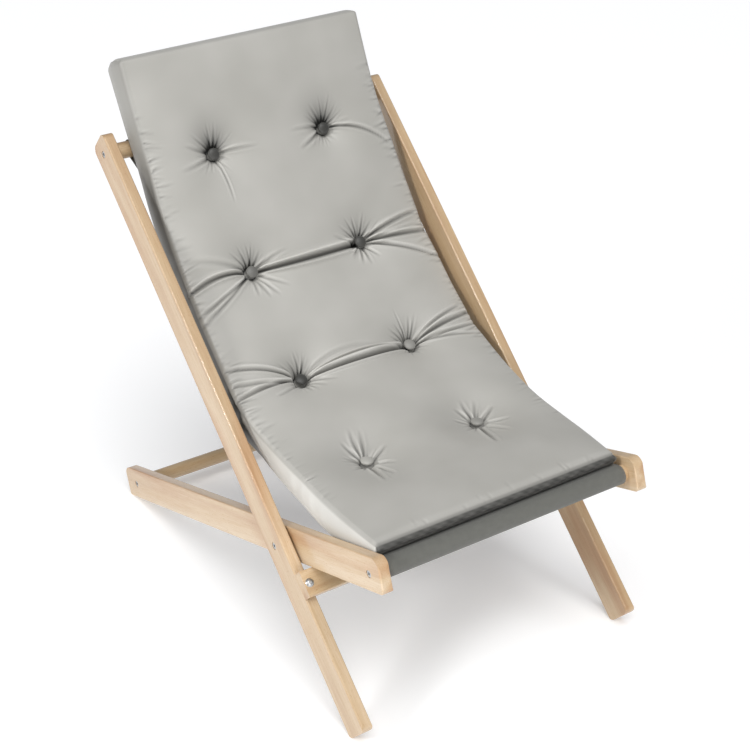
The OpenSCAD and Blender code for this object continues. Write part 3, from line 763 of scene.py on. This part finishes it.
# For each row and side: end of the fold from its button, depth, width, bow and fade.
LONG_FOLDS = {
    (0, -1): [
        ((10, 78), 3.4, 2.8, 4, 0.8), ((48, 17), 3.8, 2.8, -3, 0.7), ((26, 70), 3.2, 2.6, 0, 0.8),
        ((-19, 58), 3.2, 2.6, 2, 0.8), ((-14, -84), 4.6, 3, 0, 0.5), ((36, -36), 3.6, 2.8, 2, 0.5),
        ((-34, 24), 3, 2.6, 0, 0.8), ((-36, -18), 2.4, 2.6, 0, 0.8), ((12, -72), 4, 2.8, 2, 0.5),
    ],
    (0, 1): [
        ((46, 21), 4.2, 2.8, -3, 0.6), ((-38, 19), 3.4, 2.6, 2, 0.7), ((1, 58), 3.4, 2.8, 2, 0.8),
        ((-20, 46), 3.2, 2.6, 0, 0.8), ((-22, -92), 5, 3.2, 0, 0.4), ((24, -66), 3.8, 2.8, 2, 0.5),
        ((48, -30), 3.6, 2.8, 0, 0.5), ((-38, -22), 2.4, 2.6, 0, 0.8), ((25, 50), 2.8, 2.6, 0, 0.8),
    ],
    (1, -1): [
        ((-128, 56), 6.5, 3, -7, 0.2), ((-126, 22), 4.5, 2.8, 3, 0.3), ((-130, -10), 6, 3.2, -4, 0.3),
        ((-100, 8), 2.2, 2.2, 0, 0.6), ((230, 0), 9, 4.2, -6, 0), ((230, 1), 3.6, 1.8, 10, 0.1),
        ((165, 14), 1.8, 3.2, 18, 0.6), ((-62, -30), 1.4, 2.6, 4, 0.2), ((0, -38), 2.6, 2.4, 0, 0.8),
        ((16, -38), 2.6, 2.4, 0, 0.8), ((32, -38), 2.6, 2.4, 0, 0.8), ((56, -33), 2.6, 2.4, 0, 0.8),
    ],
    (1, 1): [
        ((116, 43), 5, 2.6, 3, 0.3), ((128, 23), 6.5, 3.4, 2, 0.2), ((130, -4), 5.2, 2.8, -3, 0.3),
        ((128, -34), 3, 2.6, 3, 0.5),
    ],
    (2, -1): [
        ((-130, -12), 7, 3.4, -12, 0.2), ((-131, -60), 4.8, 2.8, 3, 0.3), ((-132, -80), 3.2, 2.8, 2, 0.4),
        ((-120, 46), 2, 4, -9, 0.6), ((230, 0), 9.5, 4.6, -5, 0), ((78, 23), 3, 2.4, 3, 0.7),
        ((58, -48), 2.6, 2.4, 0, 0.8), ((32, -61), 2.8, 2.4, 0, 0.8), ((13, -60), 2.8, 2.4, 0, 0.8),
        ((-8, -52), 2.6, 2.4, 0, 0.8),
    ],
    (2, 1): [
        ((124, 31), 5.2, 3.2, 4, 0.3), ((131, -13), 7, 3.6, 1, 0.2), ((130, -76), 4.6, 3, 6, 0.3),
        ((125, 6), 2.6, 2, 0, 0.6), ((-52, 26), 2.8, 2.4, 3, 0.7), ((22, -40), 2.4, 2.4, 0, 0.8),
        ((0, -52), 2.8, 2.4, 0, 0.8), ((-16, -48), 2.6, 2.4, 0, 0.8), ((-30, -33), 2.4, 2.4, 0, 0.8),
    ],
    (3, -1): [
        ((88, -4), 3.4, 2.6, 2, 0.7), ((8, -96), 2, 1.6, 4, 0.6), ((-72, -20), 3.4, 3.2, 3, 0.8),
        ((-56, 26), 3.2, 2.6, 0, 0.8),
    ],
    (3, 1): [
        ((118, -56), 4.2, 2.8, 17, 0.4), ((56, 6), 3, 2.4, 0, 0.8), ((-74, 8), 3, 2.8, -4, 0.8),
        ((-62, -30), 3.4, 3, 0, 0.8),
    ],
}
for (row, side), long_folds in LONG_FOLDS.items():
    for end, depth, width, bow, fade in long_folds:
        dark_at = DARK_AT
        if row == 0 and end[1] < 0:
            dark_at = DARK_AT_FRONT
        elif row == 0 or end[1] < DOWNHILL:
            dark_at = DARK_AT_SHORT
        tone = min(1.0, depth / dark_at)
        crease((side * COLUMN / MM, ROWS[row] / MM), end, depth, width, bow, LONG_START, fade, tone)
# Fine gathers: the angle is measured from across the chair, so that its sine says how far up they point.
for number, (tuft_x, tuft_s, _) in enumerate(TUFTS):
    row = number // 2
    gathers = SEAT_GATHERS if row == 0 else BACK_GATHERS
    for k in range(gathers):
        angle = math.tau * (k + chance.uniform(-0.35, 0.35)) / gathers
        upward = max(0.0, math.sin(angle))
        reach = chance.uniform(30, 48) + upward * (0 if row == 0 else chance.uniform(4, 30))
        depth = chance.uniform(1.3, 2.2) + 0.7 * upward
        end = (reach * math.cos(angle), reach * math.sin(angle))
        crease((tuft_x / MM, tuft_s / MM), end, depth, chance.uniform(1.2, 1.8), chance.uniform(-2, 2),
               FINE_START, tone=(0.6 + 0.3 * upward) * (0.6 if row == 3 else 1))
# Puckers along the side seams, most of them beside the rows, fewer beside the seat's, and some at the front.
for side in (-1, 1):
    for row in ROWS:
        for k in range(ROW_PUCKERS):
            place = (side * HALF / MM, row / MM + (k - 4.5) * 20 + chance.uniform(-8, 8))
            reach = chance.uniform(16, 40)
            weight = 1.0 if row > ROWS[0] or k % 3 == 1 else 0.25
            crease(place, (-side * reach, reach * chance.uniform(-0.3, 0.3)),
                   weight * chance.uniform(0.8, 2.2), chance.uniform(1.8, 2.8), chance.uniform(-2, 2),
                   tone=0.5 * weight)
    for k in range(SIDE_PUCKERS):
        place = (side * HALF / MM, 330 + 13 * k + chance.uniform(-5, 5))
        reach = chance.uniform(9, 24)
        crease(place, (-side * reach, reach * chance.uniform(-0.5, 0.3)), chance.uniform(0.6, 1.6),
               chance.uniform(1.5, 2.4), tone=0.4)
for k in range(FRONT_PUCKERS):
    reach = chance.uniform(12, 30)
    crease((chance.uniform(-210, 210), BEGIN / MM), (reach * chance.uniform(-0.3, 0.3), reach),
           chance.uniform(0.7, 1.5), chance.uniform(1.8, 2.6), tone=0.4)
# Along rows 1 and 2, where the chair bends, the cover also sinks in a broad hollow.
hollow = sum(np.exp(-(((s - row) / HOLLOW_WIDE) ** 2)) for row in ROWS[1:3])
folds -= np.where(on_top, HOLLOW_DEEP * hollow, 0)
print("deepest fold", round(-folds.min() / MM, 1), "mm, highest lip", round(folds.max() / MM, 1), "mm")

# %% [markdown]
# ## Cushion: edges and seams
# The panels round over into the band at a sewn seam, which shows as a fine groove. The band bulges a little
# and puckers beside the rows, and the corners are soft.

# %% Cushion: edges and seams
SIDE_R, FRONT_R, HEAD_R, BOTTOM_R = 5 * MM, 4 * MM, 8 * MM, 2.5 * MM
SIDE_BULGE, END_BULGE, DRAW = 3 * MM, 5 * MM, 1.5 * MM
SEAM_IN, SEAM_DEEP, SEAM_WIDE = 1.8 * MM, 0.9 * MM, 1.1 * MM
FRONT_LIFT, FRONT_LIFT_OVER = 2.5 * MM, 22 * MM
ROW_ZONE, RIPPLE, RIPPLE_FINE, RIPPLE_BROAD = 46 * MM, 0.5 * MM, 5.1 * MM, 8.3 * MM
SAG, SAG_EDGE, SAG_AT, SAG_ZONE = 13 * MM, 4 * MM, 120 * MM, 100 * MM
BAR_ENDS, CLEAR_OF_BAR = 40 * MM, 50 * MM
CORNER_TOP, CORNER_BOTTOM, CORNER_FRONT = 9 * MM, 13 * MM, 4 * MM


def round_over(gap, radius):
    """How far a rounded edge has dropped at this distance from it."""
    q = 1 - np.clip(gap / radius, 0, 1)
    return radius * (1 - np.sqrt(np.clip(1 - q ** 2, 0, 1)))


def near_place(place, reach):
    """A share that is 1 at this length along the cloth and fades within the reach."""
    return np.exp(-(((s - place) / reach) ** 2))


side_gap, end_gap = HALF - np.abs(x), np.minimum(s - BEGIN, END - s)
drop = np.maximum.reduce(
    [round_over(side_gap, SIDE_R), round_over(s - BEGIN, FRONT_R), round_over(END - s, HEAD_R)])
edge_gap = np.minimum(side_gap, end_gap)
lift = round_over(edge_gap, BOTTOM_R) + FRONT_LIFT * np.clip(1 - (s - BEGIN) / FRONT_LIFT_OVER, 0, 1)
groove = SEAM_DEEP * np.exp(-(((edge_gap - SEAM_IN) / SEAM_WIDE) ** 2))
near_rows = np.max([near_place(row, ROW_ZONE) for row in ROWS], axis=0)
bulge = np.sin(math.pi * up)
ripple = RIPPLE * (np.sin(s / RIPPLE_FINE) + np.sin(s / RIPPLE_BROAD + 1)) * (0.3 + near_rows)
# In the seat the cushion's sides hang a little over the edges of the sling, but not over the bar's ends.
sag = SAG * np.exp(-((side_gap / SAG_EDGE) ** 2)) * near_place(SAG_AT, SAG_ZONE)
low_h = under_h + lift - sag * np.clip((s - BAR_ENDS) / CLEAR_OF_BAR, 0, 1)
flat_h = low_h + (top_h + folds - drop - groove - low_h) * up
# Corner circles in plan, rounder at the bottom.
corner = np.where(s < ROWS[0], CORNER_FRONT, CORNER_BOTTOM + (CORNER_TOP - CORNER_BOTTOM) * up)
u, v = (np.clip(1 - gap / corner, 0, 1) for gap in (side_gap, end_gap))
outward, endward = np.sign(x), np.where(2 * s > BEGIN + END, 1, -1)
edge_share = (np.abs(x) / HALF) ** 3
flat_x = x - outward * (corner * u * (1 - np.sqrt(1 - v ** 2 / 2)) + DRAW * near_rows * edge_share)
flat_x = flat_x + np.where(on_side, outward * (SIDE_BULGE + ripple) * bulge, 0)
flat_s = s - endward * corner * v * (1 - np.sqrt(1 - u ** 2 / 2))
flat_s = flat_s + np.where(on_end, endward * END_BULGE * bulge, 0)
print("edges drop", round(drop.max() / MM, 1), "mm at most")

# %% [markdown]
# ## Cushion: out of true
# A soft cushion is never quite square. It squeezes out sideways where it bends, over the seat rails and
# between the back rails, its right front corner is drawn in, and its top end lies a little askew.

# %% Cushion: out of true
LEFT_OUT, LEFT_OUT_AT, LEFT_OUT_ZONE = 10 * MM, 430 * MM, 90 * MM
# Millimetres along the cloth, and how far the right side stands out there.
RIGHT_OUT_AT, RIGHT_OUT = (20, 100, 220, 380, 620, 760, 880, 1000), (0, 4, 8, 12, 17, 13, 9, 0)
RAILS_END, RAILS_FADE = 360 * MM, 60 * MM
ASKEW, LONGER_LEFT, LONGER_RIGHT = 6 * MM, 3 * MM, 10 * MM
CORNER_IN, CORNER_IN_OVER = 7 * MM, 110 * MM
right_share, top_share = (x / HALF + 1) / 2, np.clip((s - ROWS[3]) / (END - ROWS[3]), 0, 1)
right_out = MM * np.interp(s / MM, RIGHT_OUT_AT, RIGHT_OUT)
left_out = LEFT_OUT * near_place(LEFT_OUT_AT, LEFT_OUT_ZONE)
over_rails = np.maximum(up, np.clip((s - RAILS_END) / RAILS_FADE, 0, 1))
flat_x = flat_x + outward * np.where(x > 0, right_out, left_out) * over_rails * edge_share
drawn_in = np.clip(1 - (s - BEGIN) / CORNER_IN_OVER, 0, 1)
flat_x = flat_x - ASKEW * top_share - CORNER_IN * (right_share * drawn_in) ** 2
flat_s = flat_s + (LONGER_LEFT + (LONGER_RIGHT - LONGER_LEFT) * right_share) * top_share
print("cushion is", round(np.ptp(flat_x) / MM), "mm wide over its band")

# %% [markdown]
# ## Cushion: painted light and shade
# Light and shade are painted into the cover point by point. Painted shade lies in the folds and round the
# buttons, mostly uphill of them, with painted highlights on the folds' lips and just below the buttons. The
# band gets painted light beside the seat and painted shade along the back, with a slanting edge between, and
# the front band gets the darkest painted shade, with crushed patches.

# %% Cushion: painted light and shade
PLAIN_TONE, SEAT_SIDE_LIGHT, BACK_SIDE_SHADE, FRONT_SHADE = 0.5, 0.82, 0.36, 0.03
FOLD_TONE, SHADE_RANGE = 0.38, (-0.8, 1.1)
FUNNEL_TONE = [0.14, 0.34, 0.42, 0.68]   # for each row of tufts
FUNNEL_FADE, UPHILL_FADE, DOWNHILL_FADE = 7 * MM, 14 * MM, 14 * MM
RING_TONE, RING_WIDE, GLOW_TONE, GLOW_GAP = 0.25, 1.5 * MM, 0.12, 3 * MM
ROLL_TONE, RIDGE_TONE, SEAM_TONE = 0.26, 0.06, 0.16
RIDGE_IN, RIDGE_WIDE, SEAM_SHADE = 9 * MM, 5 * MM, 7 * MM
BACK_BEGINS, BACK_FADE, FRONT_UNDER = 500 * MM, 150 * MM, 40 * MM
SHADE_BEGINS, SHADE_OVER, SHADE_SOFT = 330 * MM, 110 * MM, 0.15
# Millimetres along the cloth, and the painted shade of the band there.
BACK_SHADE_AT, BACK_SHADE = (440, 520, 880, 980), (0.0, 0.12, 0.15, BACK_SIDE_SHADE)
CRUSHED = ((17, 9), (31, -7), (53, 6))   # width of the patches in millimetres, and their slant
CRUSHED_TONE, UPPER_TONE = 0.04, 0.08
funnel = np.zeros_like(x)
for number, (tuft_x, tuft_s, _) in enumerate(TUFTS):
    off = np.hypot(x - tuft_x, s - tuft_s)
    gap = np.clip(off - BUTTON_R, 0, None)
    slant = (s - tuft_s) / np.maximum(off, MM)
    uphill, downhill = np.clip(slant, 0, 1), np.clip(-slant, 0, 1)
    # Painted shade round each button, most uphill of it, a dark painted ring at its edge and a painted
    # highlight just below it.
    funnel_shade = (0.35 + 0.65 * uphill) * np.exp(-gap / (FUNNEL_FADE + UPHILL_FADE * uphill))
    ring = np.exp(-(((off - BUTTON_R) / RING_WIDE) ** 2))
    glow = downhill * np.exp(-gap / DOWNHILL_FADE) * np.clip(gap / GLOW_GAP, 0, 1)
    funnel += FUNNEL_TONE[number // 2] * funnel_shade + RING_TONE * ring - GLOW_TONE * glow
tone_and_light_at = PLAIN_TONE - FOLD_TONE * np.clip(shade, *SHADE_RANGE) - funnel
# Painted shade on the front edge's roll-over, a painted highlight on a ridge just behind it, and painted
# shade along the side seams on the back.
rolled = np.clip(1 - (s - BEGIN) / FRONT_R, 0, 1)
ridge = np.exp(-(((s - BEGIN - RIDGE_IN) / RIDGE_WIDE) ** 2))
seam_edge = np.clip(1 - side_gap / SEAM_SHADE, 0, 1) * np.clip((s - BACK_BEGINS) / BACK_FADE, 0, 1)
tone_and_light_at = tone_and_light_at - ROLL_TONE * rolled + RIDGE_TONE * ridge - SEAM_TONE * seam_edge
tone_and_light_at = np.where(on_top, tone_and_light_at, PLAIN_TONE)
# Painted shade on the underside near the front, where it meets the sling.
tone_and_light_at = np.where((up < 1 - ON_FACE) & (s < BEGIN + FRONT_UNDER), 0, tone_and_light_at)
# On the band: painted light beside the seat and painted shade along the back, with a slanting edge between.
back_shade = np.interp(s / MM, BACK_SHADE_AT, BACK_SHADE)
shaded_to = np.clip((s - SHADE_BEGINS) / SHADE_OVER, -1, 1.2)
in_shade = np.clip((shaded_to - up) / SHADE_SOFT + 0.5, 0, 1)
side_light_and_shade = SEAT_SIDE_LIGHT + (back_shade - SEAT_SIDE_LIGHT) * in_shade
tone_and_light_at = np.where(on_side & ~on_top, side_light_and_shade, tone_and_light_at)
# The front band gets dark painted shade, with painted light towards its top, and crushed patches.
crushed = sum(np.sin(math.tau * x / (size * MM) + turn * up) for size, turn in CRUSHED) / len(CRUSHED)
front_shade = FRONT_SHADE + UPPER_TONE * up ** 2 + CRUSHED_TONE * crushed
tone_and_light_at = np.where(on_end & (s < ROWS[0]) & ~on_top, front_shade, tone_and_light_at)
print("nap from", round(tone_and_light_at.min(), 2), "to", round(tone_and_light_at.max(), 2))

# %% [markdown]
# ## Cushion: on the sling
# The finished flat cushion is laid on the sling's line. Its UV map keeps the flat sizes in metres, so that
# the pile follows the cover.

# %% Cushion: on the sling
lying = above(flat_s, flat_h)
tone_and_light_layer = bm.verts.layers.float.new("tone_and_painted_light")
for vert, across, (y, z), tone in zip(bm.verts, flat_x, lying, tone_and_light_at):
    vert.co = (across, y, z)
    vert[tone_and_light_layer] = tone
bmesh.ops.recalc_face_normals(bm, faces=bm.faces)
over_edge = top_h - flat_h
cloth_u = flat_x + np.where(on_side, outward * over_edge, 0)
cloth_w = flat_s + np.where(on_end, endward * over_edge, 0)
cloth_map(bm, lambda vert: (cloth_u[vert.index], cloth_w[vert.index]))
cushion = soft_piece("tufted_cushion", bm, velvet, "velvet", "cushion")
fold(cushion)
print("cushion:", len(cushion.data.polygons), "faces")

# %% [markdown]
# ## Buttons
# Each tuft has a button covered with the same velvet: a shallow dome whose cover is drawn over the rim and
# gathered underneath. Its outline is a short chain of edges that is spun round the button's axis. The
# underside has flatter ones.

# %% Buttons
RIM_R, RIM = 11 * MM, 3 * MM
DOME, UNDER_DOME = 4 * MM, 3.1 * MM
RIM_SHADE, RIM_DARK, UNDER_TONE = 0.06, 0.3, 0.4   # painted shade on the lowest part of the rim
# Painted shade on each button's face, from plain to dark.
FACE_TONES = [0.50, 0.34, 0.04, 0.32, 0.16, 0.05, 0.05, 0.04]   # in the order of the tufts


def button(bm, dome):
    """One covered button that stands on the XY plane."""
    arc = [math.radians(a) for a in (0, 18, 36, 54, 72, 84)]
    outline = [(RIM_R * math.sin(a), RIM + dome * math.cos(a)) for a in arc]
    outline += [(RIM_R * wide, RIM * high) for wide, high in ((1, 0.75), (0.985, 0.4), (0.93, 0.1), (0.7, 0))]
    chain = [bm.verts.new((r, 0, h)) for r, h in outline] + [bm.verts.new((0, 0, 0))]
    edges = [bm.edges.new(pair) for pair in zip(chain, chain[1:])]
    bmesh.ops.spin(bm, geom=chain + edges, axis=(0, 0, 1), cent=(0, 0, 0), angle=math.tau, steps=32,
                   use_merge=True, use_duplicate=False)


def tuft_place(tuft_x, row, height, turn=0.0):
    """Matrix of a tuft's middle at a height above the sling, with Z away from the cushion."""
    y, z = (above(row - TUFT_FLAT, height) + above(row + TUFT_FLAT, height)) / 2
    return Matrix.Translation((tuft_x, y, z)) @ Matrix.Rotation(float(slope_at(row)) + turn, 4, "X")


def button_set(name, node, dome, places, tones):
    """All buttons of one face as a single piece. Each one's face gets its own painted shade."""
    bm = bmesh.new()
    tone_and_light_layer = bm.verts.layers.float.new("tone_and_painted_light")
    for place, tone in zip(places, tones):
        before = set(bm.verts)
        button(bm, dome)
        mine = [v for v in bm.verts if v not in before]
        bmesh.ops.remove_doubles(bm, verts=mine, dist=0.01 * MM)
        mine = [v for v in bm.verts if v not in before]
        for vert in mine:
            # Painted shade: the face's own, and a darker one on the lowest part of the rim.
            vert[tone_and_light_layer] = tone if vert.co.z > RIM_DARK * RIM else RIM_SHADE
        bmesh.ops.transform(bm, matrix=place, verts=mine)
    bmesh.ops.recalc_face_normals(bm, faces=bm.faces)
    cloth_map(bm, lambda vert: (vert.co.x, vert.co.y + vert.co.z))
    fold(soft_piece(name, bm, velvet, "velvet", node))


face_places = [tuft_place(tx, ts, LIFT + BAND + CROWN - depth + GAP) for tx, ts, depth in TUFTS]
under_places = [tuft_place(tx, ts, LIFT + TUFT_UNDER - GAP, math.pi) for tx, ts, _ in TUFTS]
button_set("covered_buttons", "front_buttons", DOME, face_places, FACE_TONES)
button_set("underside_buttons", "back_buttons", UNDER_DOME, under_places, [UNDER_TONE] * len(TUFTS))
print("buttons:", len(face_places) + len(under_places))

# %% [markdown]
# ## Tufting cords
# A waxed cord runs through the filling from each button to the one below it. It is hidden, but it is what
# holds the tuft, so it is there: two plies twisted round each other.

# %% Tufting cords
CORD_R, TWIST, CORD_STEPS = 0.8 * MM, 9 * MM, 24
bm = bmesh.new()
for (tx, ts, _), top in zip(TUFTS, face_places):
    low = tuft_place(tx, ts, LIFT + TUFT_UNDER)
    length = (top.translation - low.translation).length
    axis = (low.to_3x3() @ Vector((0, 0, 1))).normalized()
    for ply in (0, math.pi):
        place = low @ Matrix.Rotation(ply, 4, "Z") @ Matrix.Translation((CORD_R / 2, 0, 0))
        ring = bmesh.ops.create_circle(bm, cap_ends=False, segments=6, radius=CORD_R / 2, matrix=place)
        edges = list(dict.fromkeys(e for v in ring["verts"] for e in v.link_edges))
        bmesh.ops.spin(
            bm, geom=ring["verts"] + edges, axis=axis, cent=low.translation, steps=CORD_STEPS,
            dvec=axis * length / CORD_STEPS, angle=math.tau * length / TWIST, use_duplicate=False,
        )
bmesh.ops.recalc_face_normals(bm, faces=bm.faces)
cords = fold(soft_piece("tufting_cords", bm, thread_finish, "cord", "tuft_cords"))
print("cords:", len(TUFTS), "faces:", len(cords.data.polygons))
